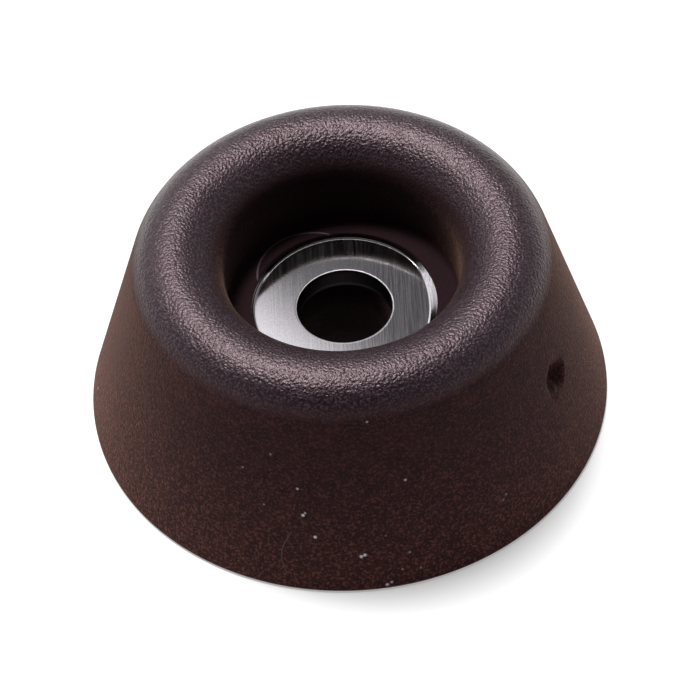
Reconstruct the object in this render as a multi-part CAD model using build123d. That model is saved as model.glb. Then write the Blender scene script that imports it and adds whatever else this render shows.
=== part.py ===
from build123d import *
import math
import os

# A round rubber bumper foot, moulded in one piece round a steel washer.
# The foot stands on its wide base. Its side wall leans in to a rounded crown, and inside the crown a
# round recess goes down to the washer, which spreads the load of the screw that holds the foot.
# Millimetres, +Z up, origin at the centre of the base. Outlines are drawn as (radius, height).

# Rubber body
base_radius = 19.15
height = 15.9
crown_radius = 11.95  # radius of the circle along which the crown is highest
crown_outer_round = 3.25
crown_inner_round = 3.55
base_edge_round = 0.2
recess_depth = 6.7  # from the crown down to the lip
recess_corner_round = 0.5
lip_width = 1.7  # from the recess wall in to the washer's open face
lip_thickness = 0.3  # rubber that lies over the washer
lip_edge_round = 0.12

# Screw bore, the same through the washer and the rubber under it
bore_radius = 3.4

# Steel washer
washer_thickness = 1.7
washer_grip = 2.8  # how far it reaches into the rubber beyond its open face
face_sink = 0.2  # depth to which the open face is pressed below the washer's top
face_rim_curve = 0.9  # radius of the curve that leads up from the open face
hole_edge_round = 0.2

# Pit in the side wall
pit_radius = 1.3
pit_depth = 0.8
pit_height = 8.6
pit_azimuth = -28.5  # degrees from +X, anticlockwise seen from above

recess_radius = crown_radius - crown_inner_round
open_face_radius = recess_radius - lip_width
washer_radius = open_face_radius + washer_grip
lip_height = height - recess_depth
washer_top = lip_height - lip_thickness
open_face_height = washer_top - face_sink
washer_seat_height = washer_top - washer_thickness


def wall_top():
    """The point (radius, height) where the straight side wall meets the crown's outer round."""
    centre_radius = crown_radius
    centre_height = height - crown_outer_round
    distance = math.hypot(base_radius - centre_radius, centre_height)
    lean_of_centre = math.atan2(base_radius - centre_radius, centre_height)
    wall_lean = lean_of_centre - math.asin(crown_outer_round / distance)
    wall_length = math.sqrt(distance**2 - crown_outer_round**2)
    return (base_radius - wall_length * math.sin(wall_lean), wall_length * math.cos(wall_lean))


def turned(outline):
    """The solid that a closed outline of (radius, height) makes when it is turned round the Z axis."""
    return revolve(Plane.XZ * make_face(outline), Axis.Z)


def rounded(face, corner, radius):
    """The face with one of its corners rounded."""
    nearest = face.vertices().sort_by_distance((corner[0], corner[1], 0))[0]
    return fillet(nearest, radius)


def steel_washer():
    """A flat washer whose open face is pressed in a little, with a curved rim and a rounded hole edge."""
    rim_width = math.sqrt(2 * face_rim_curve * face_sink - face_sink**2)
    hole_foot = (bore_radius, washer_seat_height)
    outer_foot = (washer_radius, washer_seat_height)
    outer_top = (washer_radius, washer_top)
    rim_top = (open_face_radius, washer_top)
    rim_foot = (open_face_radius - rim_width, open_face_height)
    hole_shoulder = (bore_radius + hole_edge_round, open_face_height)
    hole_top = (bore_radius, open_face_height - hole_edge_round)
    return turned(
        [
            Polyline(hole_top, hole_foot, outer_foot, outer_top, rim_top),
            TangentArc(rim_foot, rim_top, tangent=(1, 0)),
            Line(rim_foot, hole_shoulder),
            TangentArc(hole_shoulder, hole_top, tangent=(-1, 0)),
        ]
    )


def side_pit():
    """The ball that leaves the shallow round pit in the side wall."""
    top_radius, top_height = wall_top()
    lean = math.atan2(base_radius - top_radius, top_height)
    ball_radius = (pit_radius**2 + pit_depth**2) / (2 * pit_depth)
    stand_off = ball_radius - pit_depth
    wall_radius = base_radius - pit_height * math.tan(lean)
    ball_distance = wall_radius + stand_off * math.cos(lean)
    ball_height = pit_height + stand_off * math.sin(lean)
    return Rot(0, 0, pit_azimuth) * Pos(ball_distance, 0, ball_height) * Sphere(ball_radius)


def rubber_body(washer):
    """The moulded body: a leaning wall, a round crown, a recess, and a lip that holds the washer."""
    base_inner = (bore_radius, 0)
    base_outer = (base_radius, 0)
    crown_top = (crown_radius, height)
    recess_top = (recess_radius, height - crown_inner_round)
    recess_foot = (recess_radius, lip_height)
    lip_edge = (open_face_radius, lip_height)
    lip_foot = (open_face_radius, washer_seat_height)
    bore_top = (bore_radius, washer_seat_height)
    outline = make_face(
        [
            Polyline(bore_top, base_inner, base_outer, wall_top()),
            TangentArc(crown_top, wall_top(), tangent=(1, 0)),
            TangentArc(crown_top, recess_top, tangent=(-1, 0)),
            Polyline(recess_top, recess_foot, lip_edge, lip_foot, bore_top),
        ]
    )
    outline = rounded(outline, base_outer, base_edge_round)
    outline = rounded(outline, recess_foot, recess_corner_round)
    outline = rounded(outline, lip_edge, lip_edge_round)
    return revolve(Plane.XZ * outline, Axis.Z) - washer - side_pit()


washer = steel_washer()
parts = {"rubber_body": rubber_body(washer), "steel_washer": washer}
os.makedirs("parts", exist_ok=True)
for name, part in parts.items():
    export_step(part, f"parts/{name}.step")
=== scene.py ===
"""Looks of the rubber foot: a grained rubber body moulded round a satin steel washer."""

import math

import bpy
import numpy as np
from mathutils import Matrix, Vector, noise

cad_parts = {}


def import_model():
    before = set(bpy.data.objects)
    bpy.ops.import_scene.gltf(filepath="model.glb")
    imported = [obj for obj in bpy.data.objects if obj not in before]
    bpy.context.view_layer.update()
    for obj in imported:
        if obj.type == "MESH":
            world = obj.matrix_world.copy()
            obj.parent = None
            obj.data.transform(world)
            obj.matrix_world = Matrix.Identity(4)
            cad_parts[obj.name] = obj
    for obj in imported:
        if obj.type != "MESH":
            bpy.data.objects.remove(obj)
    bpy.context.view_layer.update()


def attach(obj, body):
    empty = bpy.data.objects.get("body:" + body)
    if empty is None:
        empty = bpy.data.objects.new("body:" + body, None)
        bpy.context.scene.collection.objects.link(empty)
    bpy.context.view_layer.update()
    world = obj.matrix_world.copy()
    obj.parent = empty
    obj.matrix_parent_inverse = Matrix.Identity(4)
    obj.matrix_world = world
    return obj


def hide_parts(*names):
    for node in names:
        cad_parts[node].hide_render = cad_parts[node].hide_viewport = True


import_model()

MM = 0.001  # sizes below are in millimetres, and meshes and nodes are in metres

# Rubber body
base_radius = 19.15
height = 15.9
crown_radius = 11.95  # of the circle along which the crown is highest
crown_outer_round = 3.25
crown_inner_round = 3.55
base_edge_round = 0.2
recess_radius = crown_radius - crown_inner_round
lip_height = 9.2
corner_round = 0.5
lip_edge_round = 0.12
bore_radius = 3.4
body_turns = 570  # points round the body

# Moulded grain of the rubber
grain_foot = 0.6  # height under which the wall is smooth
wall_lump = 0.008  # how far the lumps of the mesh rise and sink
crown_lump = 0.012
pebble_size = 0.21
fine_grain = 0.16
coarse_grain = 0.5
grain_depth = 0.04
crown_grain_low = 13.7  # the wall's grain and gloss give way to the crown's between these heights
crown_grain_high = 15.1

# Steel washer
open_face_radius = 6.7
washer_radius = 9.5
washer_seat = 7.2
washer_top = 8.9
face_height = 8.7
hole_edge_round = 0.1
face_warp = 0.15  # how far the face is bent, up at front and back and down at the sides
rim_narrow = 0.08  # width of the curved rim of the open face
rim_extra = 0.44  # added to it on the +X side
washer_turns = 480
brush_depth = 0.0035

# Pit in the side wall
pit_radius = 1.3
pit_depth = 0.62
pit_height = 8.6
pit_azimuth = math.radians(-28.5)
pit_flap = 0.35  # how far the torn flap in the pit stands up
pit_reach = 2.5  # nothing farther than this from the wall is moved

# Light: levels where 1 is white. The window's near edge follows x + lean * z = edge
floor_white = 0.76
floor_lift = 0.30
window_level = 1.35
window_lean = 1.0
window_edge = 0.71
window_blur = 0.045
room_front = 0.02
room_back = 0.2
room_sides = 0.34
room_tint = (0.97, 0.97, 1.0, 1)

# Rubber colours
rubber_black = (0.004, 0.0015, 0.002, 1)
rubber_brown = (0.036, 0.0125, 0.0095, 1)
speckle_brown = (0.135, 0.049, 0.038, 1)
# painted shade: the near black of the rubber inside the recess
recess_painted_shade = (0.006, 0.003, 0.004, 1)
crown_dark = (0.006, 0.003, 0.005, 1)
# light crown speckles: partly the grain's own tone, partly painted glints
crown_grain_glint_light = (0.048, 0.030, 0.042, 1)
# painted reflection of the white floor on the rounded base edge
base_edge_painted_reflection = (0.75, 0.62, 0.55, 1)
flash_grey = (0.16, 0.12, 0.13, 1)
hair_grey = (0.30, 0.24, 0.22, 1)
dust_white = (0.80, 0.74, 0.76, 1)
gloss_tint = (1.0, 0.5, 0.6, 1)
sheen_tint = (0.9, 0.50, 0.32, 1)

# Steel colours
steel_dull = (0.58, 0.55, 0.57, 1)
steel_bright = (0.70, 0.67, 0.69, 1)
# dark brushed streaks, partly the brushing and partly painted reflection
brushed_dark_painted_reflection = (0.10, 0.09, 0.10, 1)
# painted shade on the rim of the open face
rim_painted_shade = (0.012, 0.010, 0.011, 1)
# painted shade in the bore of the hole
hole_painted_shade = (0.015, 0.012, 0.012, 1)

# Dust on the side wall: azimuth in degrees, height, radius and brightness of each speck
dust = [
    (-178, 2.0, 0.10, 0.6), (-86, 13.8, 0.07, 0.6), (-111, 10.8, 0.07, 0.35), (-118, 9.1, 0.07, 0.3),
    (-78, 8.7, 0.08, 0.7), (-104, 8.4, 0.08, 0.8), (-54, 4.2, 0.07, 0.35), (-55, 3.9, 0.07, 0.3),
    (-112, 6.6, 0.07, 0.3), (-102.6, 6.3, 0.11, 1.0), (-102.1, 6.5, 0.07, 0.8), (-84, 4.5, 0.06, 0.3),
    (-99.8, 4.6, 0.11, 1.0), (-79, 2.8, 0.07, 0.5), (-89.7, 3.0, 0.12, 1.0), (-88.9, 3.1, 0.12, 1.0),
    (-77, 1.3, 0.07, 0.4), (-81, 1.5, 0.07, 0.4), (-84.6, 0.45, 0.12, 0.9), (-83.6, 0.6, 0.10, 0.7),
]


# Outlines and meshes -----------------------------------------------------------------------------


def arc(centre, radius, start, end, steps):
    """Points (radius, height) along an arc, from one angle in degrees to another, ends included."""
    angles = np.radians(np.linspace(start, end, steps + 1))
    return [(centre[0] + radius * math.cos(a), centre[1] + radius * math.sin(a)) for a in angles]


def between(start, end, shares):
    """The points of a straight line at the given shares of its length."""
    return [(start[0] + (end[0] - start[0]) * t, start[1] + (end[1] - start[1]) * t) for t in shares]


def line(start, end, steps):
    """Points along a straight line, without its last point."""
    return between(start, end, np.arange(steps) / steps)


def crowded(places, density, count):
    """Places for count points, closer together where the density is higher, without the last."""
    total = np.concatenate([[0], np.cumsum((density[1:] + density[:-1]) / 2)])
    return np.interp(np.arange(count) / count * total[-1], total, places)


def wall_geometry():
    """The lean of the side wall from vertical, in radians, and its top point."""
    centre_height = height - crown_outer_round
    run = base_radius - crown_radius
    distance = math.hypot(run, centre_height)
    lean = math.atan2(run, centre_height) - math.asin(crown_outer_round / distance)
    length = math.sqrt(distance**2 - crown_outer_round**2)
    return lean, (base_radius - length * math.sin(lean), length * math.cos(lean))


wall_lean, wall_top = wall_geometry()


def wall_radius(level):
    return base_radius - level * math.tan(wall_lean)


def turned_mesh(outline, angles):
    """A closed mesh made by turning a closed outline of (radius, height) points round the Z axis."""
    rows = len(outline)
    turns = len(angles)
    r = np.array([p[0] for p in outline])
    z = np.array([p[1] for p in outline])
    points = np.empty((rows, turns, 3))
    points[..., 0] = r[:, None] * np.cos(angles)[None, :]
    points[..., 1] = r[:, None] * np.sin(angles)[None, :]
    points[..., 2] = z[:, None]
    i, j = np.meshgrid(np.arange(rows), np.arange(turns), indexing="ij")
    i2, j2 = (i + 1) % rows, (j + 1) % turns
    faces = np.stack([i * turns + j, i2 * turns + j, i2 * turns + j2, i * turns + j2], -1)
    return points, faces.reshape(-1, 4)


def make_object(name, points, faces, material):
    mesh = bpy.data.meshes.new(name)
    mesh.from_pydata((points.reshape(-1, 3) * MM).tolist(), [], faces.tolist())
    mesh.validate()
    mesh.shade_smooth()
    mesh.materials.append(material)
    piece = bpy.data.objects.new(name, mesh)
    bpy.context.scene.collection.objects.link(piece)
    return piece


# Materials ---------------------------------------------------------------------------------------


class Nodes:
    """A short way to add nodes to a node tree."""

    def __init__(self, tree):
        self.tree = tree

    def add(self, kind, links=None, **settings):
        node = self.tree.nodes.new(kind)
        for key, value in settings.items():
            setattr(node, key, value)
        for socket, value in (links or {}).items():
            if isinstance(value, bpy.types.NodeSocket):
                self.tree.links.new(value, node.inputs[socket])
            else:
                node.inputs[socket].default_value = value
        return node

    def math(self, operation, a, b=0.0, c=0.0):
        return self.add("ShaderNodeMath", {0: a, 1: b, 2: c}, operation=operation).outputs[0]

    def ramp(self, value, low, high, out_low=0.0, out_high=1.0, smooth=False):
        """out_low where the value is low or less, out_high where it is high or more."""
        links = {"Value": value, "From Min": low, "From Max": high}
        links.update({"To Min": out_low, "To Max": out_high})
        kind = "SMOOTHSTEP" if smooth else "LINEAR"
        return self.add("ShaderNodeMapRange", links, interpolation_type=kind).outputs["Result"]


class Surface(Nodes):
    """The node tree of a material, with the place on the object that is being shaded."""

    def __init__(self, name):
        self.material = bpy.data.materials.new(name)
        self.material.use_nodes = True
        super().__init__(self.material.node_tree)
        self.shader = self.tree.nodes["Principled BSDF"]
        self.place = self.add("ShaderNodeTexCoord").outputs["Object"]
        parts = self.add("ShaderNodeSeparateXYZ", {0: self.place}).outputs
        self.x, self.y, self.z = parts["X"], parts["Y"], parts["Z"]
        x_squared = self.math("MULTIPLY", self.x, self.x)
        y_squared = self.math("MULTIPLY", self.y, self.y)
        self.radius = self.math("SQRT", self.math("ADD", x_squared, y_squared))

    def set(self, socket, value):
        """Gives a socket of the shader a value that is the same all over."""
        self.shader.inputs[socket].default_value = value

    def link(self, output, socket):
        self.tree.links.new(output, self.shader.inputs[socket])

    def azimuth(self):
        return self.math("ARCTAN2", self.y, self.x)

    def noise(self, size, detail=2.0, roughness=0.5, vector=None):
        links = {"Vector": vector or self.place, "Scale": 1 / (size * MM)}
        links.update({"Detail": detail, "Roughness": roughness})
        return self.add("ShaderNodeTexNoise", links).outputs["Fac"]

    def blend(self, share, a, b):
        """A number that goes from a to b as share goes from 0 to 1."""
        return self.add("ShaderNodeMix", {0: share, 2: a, 3: b}, data_type="FLOAT").outputs[0]

    def mix(self, share, a, b):
        """A colour that goes from a to b as share goes from 0 to 1."""
        return self.add("ShaderNodeMix", {0: share, 6: a, 7: b}, data_type="RGBA").outputs[2]

    def bump(self, level, depth):
        links = {"Height": level, "Strength": 1.0, "Distance": depth * MM}
        return self.add("ShaderNodeBump", links).outputs["Normal"]


def dust_mask(n):
    """Bright where a speck of dust sits on the wall."""
    ragged = 0.09  # how far a speck's edge wanders and fades
    total = 0.0
    wobble = n.math("MULTIPLY", n.noise(0.12, 2.0, 0.6), ragged * MM)
    for azimuth, level, size, brightness in dust:
        turn = math.radians(azimuth)
        r = wall_radius(level)
        spot = (r * math.cos(turn) * MM, r * math.sin(turn) * MM, level * MM)
        distance = n.add("ShaderNodeVectorMath", {0: n.place, 1: spot}, operation="DISTANCE")
        distance = n.math("ADD", distance.outputs["Value"], wobble)
        speck = n.ramp(distance, size * MM, (size + ragged) * MM, brightness, 0.0)
        total = n.math("MAXIMUM", total, speck)
    return total


def hair_mask(n):
    """A fine hair lying on the wall, bowed a little."""
    along = n.math("MULTIPLY", n.math("SUBTRACT", 4.9 * MM, n.z), math.pi / (4.2 * MM))
    bow = n.math("MULTIPLY", n.math("SINE", along), math.radians(-2.4))
    middle = n.math("ADD", bow, math.radians(-105))
    aside = n.math("ABSOLUTE", n.math("SUBTRACT", n.azimuth(), middle))
    strand = n.ramp(aside, 0.03 / base_radius, 0.07 / base_radius, 0.22, 0.0)
    lower_end = n.ramp(n.z, 1.1 * MM, 1.4 * MM)
    upper_end = n.ramp(n.z, 4.6 * MM, 4.9 * MM, 1.0, 0.0)
    return n.math("MULTIPLY", strand, n.math("MULTIPLY", lower_end, upper_end))


def flash_mask(n):
    """A mould line that curves over the lip at the back of the recess."""
    turn = n.math("SUBTRACT", n.azimuth(), math.radians(127))
    path = n.math("MULTIPLY_ADD", n.math("MULTIPLY", turn, turn), -3.6 * MM, 7.7 * MM)
    aside = n.math("ABSOLUTE", n.math("SUBTRACT", n.radius, path))
    strand = n.ramp(aside, 0.04 * MM, 0.10 * MM, 0.6, 0.0)
    span = n.ramp(n.math("ABSOLUTE", turn), math.radians(28), math.radians(36), 1.0, 0.0)
    below = n.ramp(n.z, (lip_height + 0.1) * MM, (lip_height + 0.2) * MM, 1.0, 0.0)
    above = n.ramp(n.z, (lip_height - 0.2) * MM, (lip_height - 0.1) * MM)
    return n.math("MULTIPLY", n.math("MULTIPLY", strand, span), n.math("MULTIPLY", below, above))


def rubber_grain(n, crown):
    """Small pebbles on the crown, and a finer and softer grain on the wall."""
    cells = {"Vector": n.place, "Scale": 1 / (pebble_size * MM), "Smoothness": 0.6}
    pebble = n.add("ShaderNodeTexVoronoi", cells, feature="SMOOTH_F1").outputs["Distance"]
    fine = n.noise(fine_grain, 2.0, 0.6)
    coarse = n.noise(coarse_grain, 2.0, 0.5)
    on_crown = n.math("ADD", n.math("MULTIPLY", pebble, -1.1), n.math("MULTIPLY", fine, 1.2))
    on_wall = n.math("ADD", n.math("MULTIPLY", fine, 2.0), coarse)
    return n.bump(n.blend(crown, on_wall, on_crown), grain_depth)


def rubber_colour(n, crown):
    """Near black, mottled, with a painted reflection of a brown table that grows browner towards the
    base, painted shade in the recess, light crown speckles that are partly grain and partly painted
    glints, a painted reflection along the base edge, and the marks on top.
    """
    # Painted reflection: the brown that grows towards the base paints a brown table's reflection into the
    # wall's colour; the mottle and patches are the rubber's own tone.
    painted_table_reflection = n.ramp(n.z, 0.0, 7 * MM, 0.3, 0.0)
    patches = n.ramp(n.noise(1.2, 3.0, 0.65), 0.44, 0.64, 0.0, 0.35)
    mottle = n.ramp(n.noise(0.35, 3.0, 0.7), 0.38, 0.62, 0.0, 0.35)
    brownness = n.math("ADD", n.math("ADD", mottle, patches), painted_table_reflection)
    speckle = n.ramp(n.noise(0.22, 2.0, 0.75), 0.50, 0.62)
    # Painted reflection and shade: the speckle thins out upwards, so the wall is browner low down and
    # darker higher up.
    speckle = n.math("MULTIPLY", speckle, n.ramp(n.z, 1 * MM, 11 * MM, 1.0, 0.35))
    # Light speckles on the crown: partly the grain's own lighter tone, partly painted glints of the
    # grain.
    crown_grain_glints = n.ramp(n.noise(0.15, 1.0, 0.5), 0.5, 0.62)
    # Painted shade: inside the recess the rubber is painted near black, where shade falls.
    outside = n.ramp(n.radius, 8.6 * MM, 11 * MM)
    # Painted reflection: a light line of the white floor's reflection painted along the rounded base
    # edge.
    base_edge = n.ramp(n.z, 0.10 * MM, 0.22 * MM, 0.6, 0.0)
    colour = n.mix(brownness, rubber_black, rubber_brown)
    colour = n.mix(speckle, colour, speckle_brown)
    colour = n.mix(outside, recess_painted_shade, colour)
    colour = n.mix(crown, colour, n.mix(crown_grain_glints, crown_dark, crown_grain_glint_light))
    colour = n.mix(base_edge, colour, base_edge_painted_reflection)
    colour = n.mix(flash_mask(n), colour, flash_grey)
    colour = n.mix(hair_mask(n), colour, hair_grey)
    return n.mix(dust_mask(n), colour, dust_white)


def rubber_material():
    """A matt wall and a satin crown."""
    n = Surface("moulded_rubber")
    crown = n.ramp(n.z, crown_grain_low * MM, crown_grain_high * MM, smooth=True)
    grain_normal = rubber_grain(n, crown)
    n.link(grain_normal, "Normal")
    n.link(grain_normal, "Coat Normal")
    n.link(rubber_colour(n, crown), "Base Color")
    n.link(n.blend(crown, 0.86, 0.38), "Roughness")
    n.link(n.math("MULTIPLY", crown, 0.62), "Coat Weight")
    n.shader.distribution = "GGX"
    n.set("Coat Roughness", 0.36)
    n.set("Coat IOR", 1.5)
    n.set("Specular IOR Level", 0.35)
    n.set("Specular Tint", gloss_tint)
    n.set("Sheen Weight", 0.14)
    n.set("Sheen Roughness", 0.4)
    n.set("Sheen Tint", sheen_tint)
    return n.material


def steel_material():
    """Satin steel brushed along Y, with painted shade in the hole and on the rim at the back, and dark
    brushed streaks on the +X side that are partly painted reflection.
    """
    n = Surface("satin_steel")
    along_y = n.add("ShaderNodeMapping", {"Vector": n.place, "Scale": (1.0, 0.012, 1.0)}).outputs[0]
    streaks = n.noise(0.20, 3.0, 0.6, along_y)
    fine = n.noise(0.06, 2.0, 0.6, along_y)
    pits = n.noise(0.12, 3.0, 0.6)
    # Painted shade: the steel in the hole is painted near black.
    in_hole = n.ramp(n.radius, (bore_radius + 0.06) * MM, (bore_radius + 0.20) * MM, 1.0, 0.0)
    # Painted shade: the rim of the open face is painted dark, most of all at the back, to dull the lamp's
    # reflection there.
    at_rim = n.ramp(n.radius, 6.36 * MM, 6.46 * MM)
    rim = n.math("MULTIPLY", at_rim, n.ramp(n.y, 2.6 * MM, 3.8 * MM, 0.15, 1.0))

    level = n.math("ADD", n.math("MULTIPLY", streaks, 0.6), n.math("MULTIPLY", fine, 0.2))
    level = n.math("MULTIPLY", level, n.ramp(n.x, -4 * MM, 1.5 * MM, 0.25, 1.0))
    level = n.math("ADD", level, n.math("MULTIPLY", pits, 0.12))
    n.link(n.bump(level, brush_depth), "Normal")

    # Brushing marks darkened only on the +X side: partly the steel's brushing, partly a painted darker
    # reflection on that side.
    brushed = n.math("MULTIPLY", n.ramp(fine, 0.4, 0.62, 0.0, 0.5), n.ramp(n.x, -1 * MM, 3 * MM))
    colour = n.mix(n.ramp(pits, 0.3, 0.7), steel_dull, steel_bright)
    colour = n.mix(brushed, colour, brushed_dark_painted_reflection)
    colour = n.mix(rim, colour, rim_painted_shade)
    n.link(n.mix(in_hole, colour, hole_painted_shade), "Base Color")

    rough = n.math("ADD", n.ramp(streaks, 0.3, 0.7, 0.05, 0.09), n.math("MULTIPLY", in_hole, 0.4))
    n.link(n.math("MULTIPLY_ADD", rim, 0.35, rough), "Roughness")
    n.set("Metallic", 1.0)
    return n.material


# Rubber body -------------------------------------------------------------------------------------


def body_angles():
    """Angles round the body, closer together near the pit."""
    places = np.linspace(-math.pi, math.pi, 4001)
    density = 1 + 2.2 * np.exp(-((places / math.radians(7)) ** 2))
    return crowded(places, density, body_turns) + pit_azimuth


def wall_rows(start, end, count):
    """Points up the side wall, closer together at the height of the pit."""
    share = np.linspace(0, 1, 801)
    level = start[1] + (end[1] - start[1]) * share
    density = 1 + 1.2 * np.exp(-(((level - pit_height) / 1.8) ** 2))
    return between(start, end, crowded(share, density, count))


def body_outline():
    """The closed outline of the body, from the bore's foot out, up, over the crown and back."""
    lean = math.degrees(wall_lean)
    edge_run = base_edge_round / math.tan(math.radians((90 - lean) / 2))
    edge_centre = (base_radius - edge_run, base_edge_round)
    outer_centre = (crown_radius, height - crown_outer_round)
    inner_centre = (crown_radius, height - crown_inner_round)
    corner = (recess_radius - corner_round, lip_height + corner_round)
    lip_edge = open_face_radius + lip_edge_round
    outline = line((bore_radius, 0), (edge_centre[0], 0), 8)
    base_edge = arc(edge_centre, base_edge_round, -90, lean, 5)
    outline += base_edge
    outline += wall_rows(base_edge[-1], wall_top, 60)[1:]
    outline += arc(outer_centre, crown_outer_round, lean, 90, 30)[:-1]
    outline += arc(inner_centre, crown_inner_round, 90, 180, 34)[:-1]
    outline += line((recess_radius, inner_centre[1]), (recess_radius, corner[1]), 10)
    outline += arc(corner, corner_round, 0, -90, 5)[:-1]
    outline += line((corner[0], lip_height), (lip_edge, lip_height), 7)
    outline += arc((lip_edge, lip_height - lip_edge_round), lip_edge_round, 90, 180, 3)
    outline += [(open_face_radius, washer_top), (washer_radius, washer_top), (washer_radius, washer_seat)]
    outline += line((bore_radius, washer_seat), (bore_radius, 0), 3)
    return outline


def grain(points, size, seed):
    """Smooth noise from -1 to 1 at each point."""
    shift = Vector((seed * 17.3, seed * 5.1, seed * 9.7))
    return np.array([noise.noise(Vector(p) / size + shift) for p in points])


def pit_push(points):
    """How far each point of the wall is pushed in by the pit, or out by the flap in it."""
    turn = np.array(Matrix.Rotation(pit_azimuth, 3, "Z"))
    centre = turn @ np.array([wall_radius(pit_height), 0, pit_height])
    across = turn @ np.array([0, 1, 0])
    up = turn @ np.array([-math.sin(wall_lean), 0, math.cos(wall_lean)])
    out = turn @ np.array([math.cos(wall_lean), 0, math.sin(wall_lean)])
    offset = points - centre
    x = offset @ across
    y = offset @ up
    near = np.abs(offset @ out) < pit_reach
    around = np.arctan2(y, x)
    ragged = 0.10 * np.sin(2 * around + 0.6)
    ragged += 0.06 * np.sin(3 * around + 2.0)
    ragged += 0.04 * np.sin(5 * around)
    share = np.hypot(x, y) / (pit_radius * (1 + ragged))
    bowl = np.clip(1.25 - share**2, 0, 1.25) ** 1.3
    slant = 1 + 0.45 * np.clip((x + y) / pit_radius, -1, 1)
    flap = np.exp(-((x + 0.35) ** 2 + (y + 0.55) ** 2) / 0.45**2)
    return np.where(near, pit_flap * flap - pit_depth * bowl * slant, 0.0)


def rubber_body(material):
    """The body, with the lumps of its grain and the pit pushed along the outline's outward side."""
    outline = body_outline()
    angles = body_angles()
    points, faces = turned_mesh(outline, angles)
    rows, turns = points.shape[:2]
    o = np.array(outline)
    along = np.roll(o, -1, 0) - np.roll(o, 1, 0)
    along /= np.linalg.norm(along, axis=1)[:, None]
    out_r, out_z = along[:, 1], -along[:, 0]
    grained = (o[:, 1] > grain_foot) & (o[:, 0] > open_face_radius + 0.2)
    on_crown = np.clip((o[:, 1] - 12.0) / 2.0, 0, 1)
    amount = np.where(grained, wall_lump + (crown_lump - wall_lump) * on_crown, 0.0)
    flat = points.reshape(-1, 3)
    lumps = 0.65 * grain(flat, 0.42, 1) + 0.35 * grain(flat, 0.9, 2)
    push = lumps.reshape(rows, turns) * amount[:, None] + pit_push(points)
    direction = np.empty_like(points)
    direction[..., 0] = out_r[:, None] * np.cos(angles)[None, :]
    direction[..., 1] = out_r[:, None] * np.sin(angles)[None, :]
    direction[..., 2] = out_z[:, None]
    return make_object("rubber_body_moulding", points + direction * push[..., None], faces, material)


# Steel washer ------------------------------------------------------------------------------------


def washer_outline():
    """The closed outline of the washer, with a straight step down to the open face."""
    sink = washer_top - face_height
    shoulder = bore_radius + hole_edge_round
    hole_top = face_height - hole_edge_round
    outline = line((bore_radius, washer_seat), (washer_radius, washer_seat), 6)
    outline += line((washer_radius, washer_seat), (washer_radius, washer_top), 2)
    outline += line((washer_radius, washer_top), (open_face_radius, washer_top), 3)
    outline += [(open_face_radius, washer_top - sink * k / 10) for k in range(10)]
    outline += line((open_face_radius, face_height), (shoulder, face_height), 24)
    outline += arc((shoulder, hole_top), hole_edge_round, 90, 180, 8)
    outline += line((bore_radius, hole_top), (bore_radius, washer_seat), 4)[1:]
    return outline[::-1]


def rim_width(angles):
    """Width of the rim of the open face: thin, and wider on the +X side."""
    wide = np.clip(np.cos(angles - math.radians(2)), 0, 1) ** 6
    return rim_narrow + rim_extra * wide


def steel_washer(material):
    """The washer, with its rim sloped inwards and its open face bent a little."""
    near = 0.001
    angles = np.linspace(0, 2 * math.pi, washer_turns + 1)[:-1]
    points, faces = turned_mesh(washer_outline(), angles)
    x = points[..., 0]
    y = points[..., 1]
    z = points[..., 2]
    r = np.hypot(x, y)
    width = np.broadcast_to(rim_width(angles)[None, :], r.shape)
    rise = np.clip((z - face_height) / (washer_top - face_height), 0, 1)
    on_rim = (np.abs(r - open_face_radius) < near) & (z > face_height - near)
    on_face = (z > face_height - near) & (r < open_face_radius - near)
    near_face = z > face_height - hole_edge_round - near
    share = (r - bore_radius) / (open_face_radius - bore_radius)
    new_r = np.where(on_rim, open_face_radius - width * (1 - rise), r)
    new_r = np.where(on_face, r - width * share, new_r)
    bend = face_warp * (y**2 - 0.3 * x**2) / open_face_radius**2 * (1 - rise)
    moved = [x * new_r / r, y * new_r / r, z + np.where(near_face & (new_r < open_face_radius), bend, 0)]
    return make_object("steel_washer_plate", np.stack(moved, -1), faces[:, ::-1], material)


# Stage, light and camera -------------------------------------------------------------------------


def floor():
    """A white floor that keeps the object's shadow, lifted a little where it is seen."""
    bpy.ops.mesh.primitive_plane_add(size=6)
    plane = bpy.context.object
    plane.name = "floor"
    material = bpy.data.materials.new("pale_floor")
    material.use_nodes = True
    nodes = Nodes(material.node_tree)
    shader = nodes.tree.nodes["Principled BSDF"]
    shader.inputs["Base Color"].default_value = (floor_white, floor_white, floor_white, 1)
    shader.inputs["Roughness"].default_value = 1.0
    shader.inputs["Specular IOR Level"].default_value = 0.0
    shader.inputs["Emission Color"].default_value = (1, 1, 1, 1)
    rays = nodes.add("ShaderNodeLightPath").outputs
    seen = nodes.math("MAXIMUM", rays["Is Camera Ray"], rays["Is Glossy Ray"])
    seen = nodes.math("MAXIMUM", seen, rays["Is Transmission Ray"])
    nodes.tree.links.new(nodes.math("MULTIPLY", seen, floor_lift), shader.inputs["Emission Strength"])
    plane.data.materials.append(material)


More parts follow.
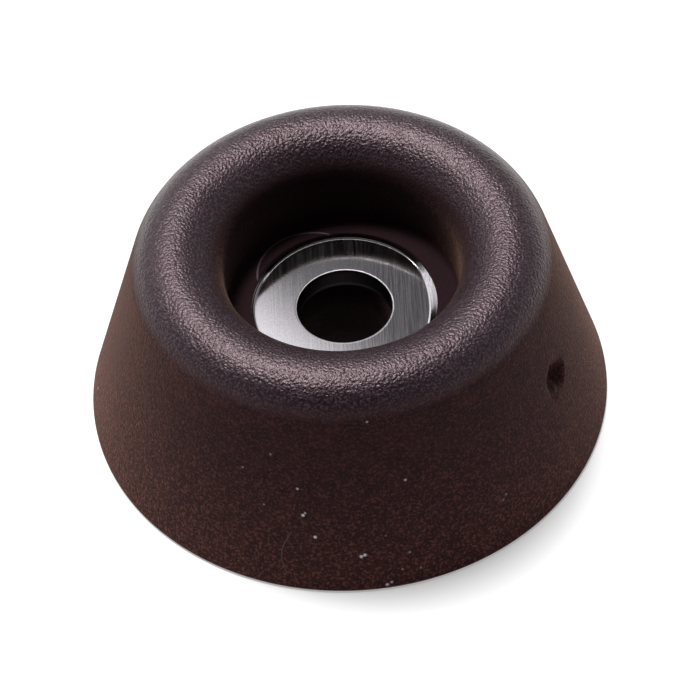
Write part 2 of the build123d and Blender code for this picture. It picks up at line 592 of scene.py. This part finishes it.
def world():
    """A dim room with a bright soft window, behind the object and to its left."""
    studio = bpy.data.worlds.new("studio")
    bpy.context.scene.world = studio
    studio.use_nodes = True
    nodes = Nodes(studio.node_tree)
    place = nodes.add("ShaderNodeTexCoord").outputs["Generated"]
    axes = nodes.add("ShaderNodeSeparateXYZ", {0: place}).outputs
    x, y, z = axes["X"], axes["Y"], axes["Z"]
    leaning = nodes.math("MULTIPLY_ADD", z, window_lean, x)
    near_side = nodes.ramp(leaning, window_edge - window_blur, window_edge + window_blur, 1, 0, True)
    far_side = nodes.ramp(x, -0.65, -0.15, 0.8, 1.0, True)
    bottom = nodes.ramp(z, 0.35, 0.62, 0.0, 1.0, True)
    top = nodes.ramp(z, 0.765, 0.825, 1.0, 0.0, True)
    behind = nodes.ramp(y, 0.15, 0.4, 0.0, 1.0, True)
    window = nodes.math("MULTIPLY", near_side, window_level)
    for share in (far_side, bottom, top, behind):
        window = nodes.math("MULTIPLY", window, share)
    room = nodes.ramp(y, -0.3, 0.9, room_front, room_back, True)
    sides = nodes.ramp(nodes.math("ABSOLUTE", x), 0.25, 0.9, 0.0, room_sides, True)
    total = nodes.math("ADD", window, nodes.math("ADD", room, sides))
    background = nodes.tree.nodes["Background"]
    background.inputs["Color"].default_value = room_tint
    nodes.tree.links.new(total, background.inputs["Strength"])


def softbox(name, direction, distance, width, power):
    """A square lamp that faces the object."""
    light = bpy.data.lights.new(name, "AREA")
    light.shape = "SQUARE"
    light.size = width
    light.energy = power
    lamp = bpy.data.objects.new(name, light)
    lamp.location = Vector(direction).normalized() * distance
    lamp.rotation_euler = (-lamp.location).to_track_quat("-Z", "Y").to_euler()
    bpy.context.scene.collection.objects.link(lamp)


def camera():
    """The photograph's view: from in front and above, with a little roll."""
    elevation = math.radians(49.69)
    roll = math.radians(-3.54)
    distance = 0.2265
    aim = Vector((0.00019, 0.00187, 0.00159))
    turn = Matrix.Rotation(math.pi / 2 - elevation, 4, "X") @ Matrix.Rotation(roll, 4, "Z")
    data = bpy.data.cameras.new("camera")
    data.sensor_width = 36
    data.lens = 156.6
    data.clip_start = 0.01
    cam = bpy.data.objects.new("camera", data)
    cam.matrix_world = Matrix.Translation(aim) @ turn @ Matrix.Translation((0, 0, distance))
    bpy.context.scene.collection.objects.link(cam)
    bpy.context.scene.camera = cam


rubber = rubber_material()
steel = steel_material()
body = rubber_body(rubber)
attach(body, "root")
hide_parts("rubber_body")
washer = steel_washer(steel)
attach(washer, "root")
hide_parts("steel_washer")

floor()
world()
softbox("overhead", (-0.16, 0.35, 0.98), 1.2, 0.30, 15.2)
camera()
bpy.context.scene.view_settings.view_transform = "Standard"
